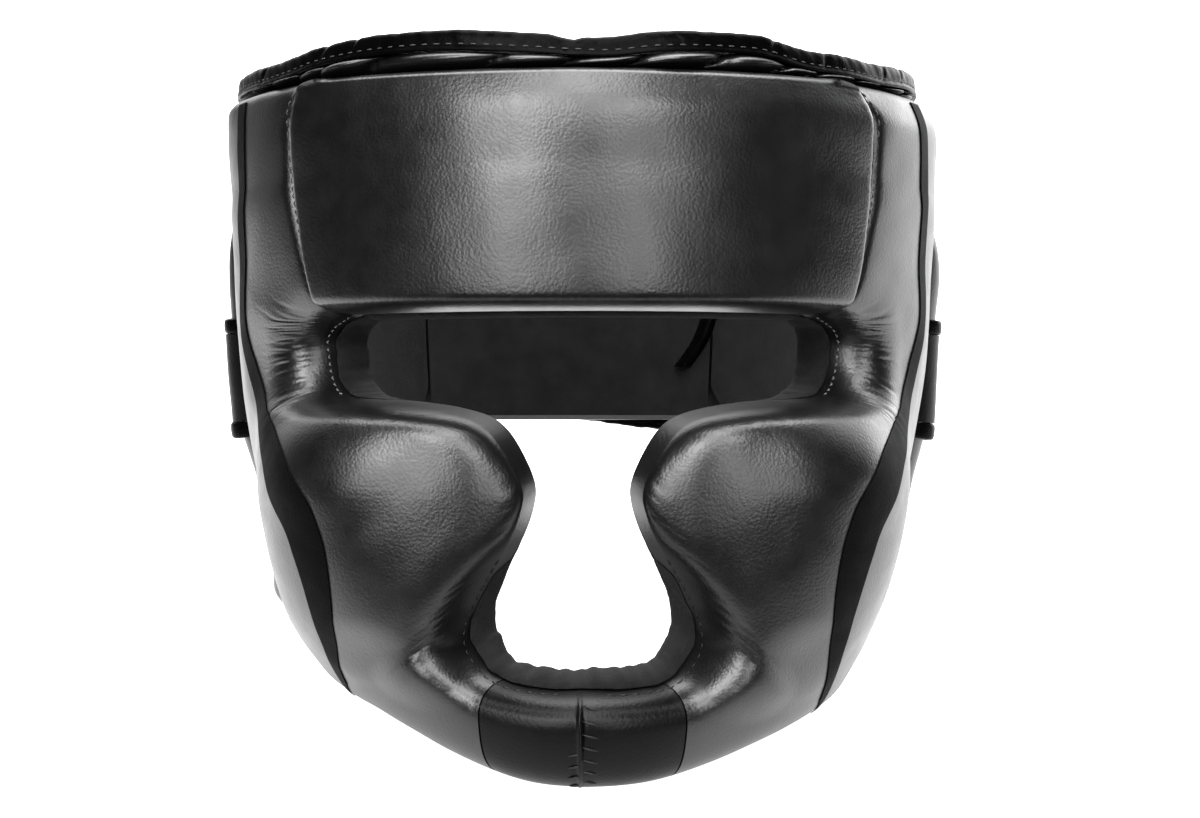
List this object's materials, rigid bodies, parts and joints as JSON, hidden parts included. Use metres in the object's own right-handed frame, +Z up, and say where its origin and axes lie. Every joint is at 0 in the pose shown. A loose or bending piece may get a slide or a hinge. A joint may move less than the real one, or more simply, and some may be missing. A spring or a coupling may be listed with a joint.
{
  "type": "head guard",
  "caption": "Full-face padded head guard for combat sports: brow pad, cheek and jaw pads, chin panel, ear pads, back panel and closing strap, open at top, eyes, nose and neck.",
  "frame": {"origin": "middle of the bounding box's lower face, on the floor that the guard rests on", "axes": "+Z up from the floor, the face opening towards -Y, +X to the viewer's right; the guard leans back 15 degrees"},
  "size_m": [0.2538, 0.28, 0.2227],
  "materials": {
    "charcoal_leather": "semi-gloss, pebbled",
    "black_leather": "semi-gloss, smooth",
    "black_binding": "glossy tape",
    "suede_lining": "napped suede"
  },
  "bodies": {
    "root": {"forehead_lining": "suede_lining", "forehead_pad": "charcoal_leather", "side_lining_left": "suede_lining", "side_pad_left": "charcoal_leather", "stripe_left": "black_leather", "chin_panel_left": "black_leather", "ear_pad_left": "charcoal_leather", "side_lining_right": "suede_lining", "side_pad_right": "charcoal_leather", "stripe_right": "black_leather", "chin_panel_right": "black_leather", "ear_pad_right": "charcoal_leather", "back_panel": "charcoal_leather", "crown_band": "charcoal_leather", "rim_binding": "black_binding", "back_strap": "black_leather", "strap_edge_upper": "black_binding", "strap_edge_lower": "black_binding", "flap_binding": "black_binding"}
  },
  "joints": []
}
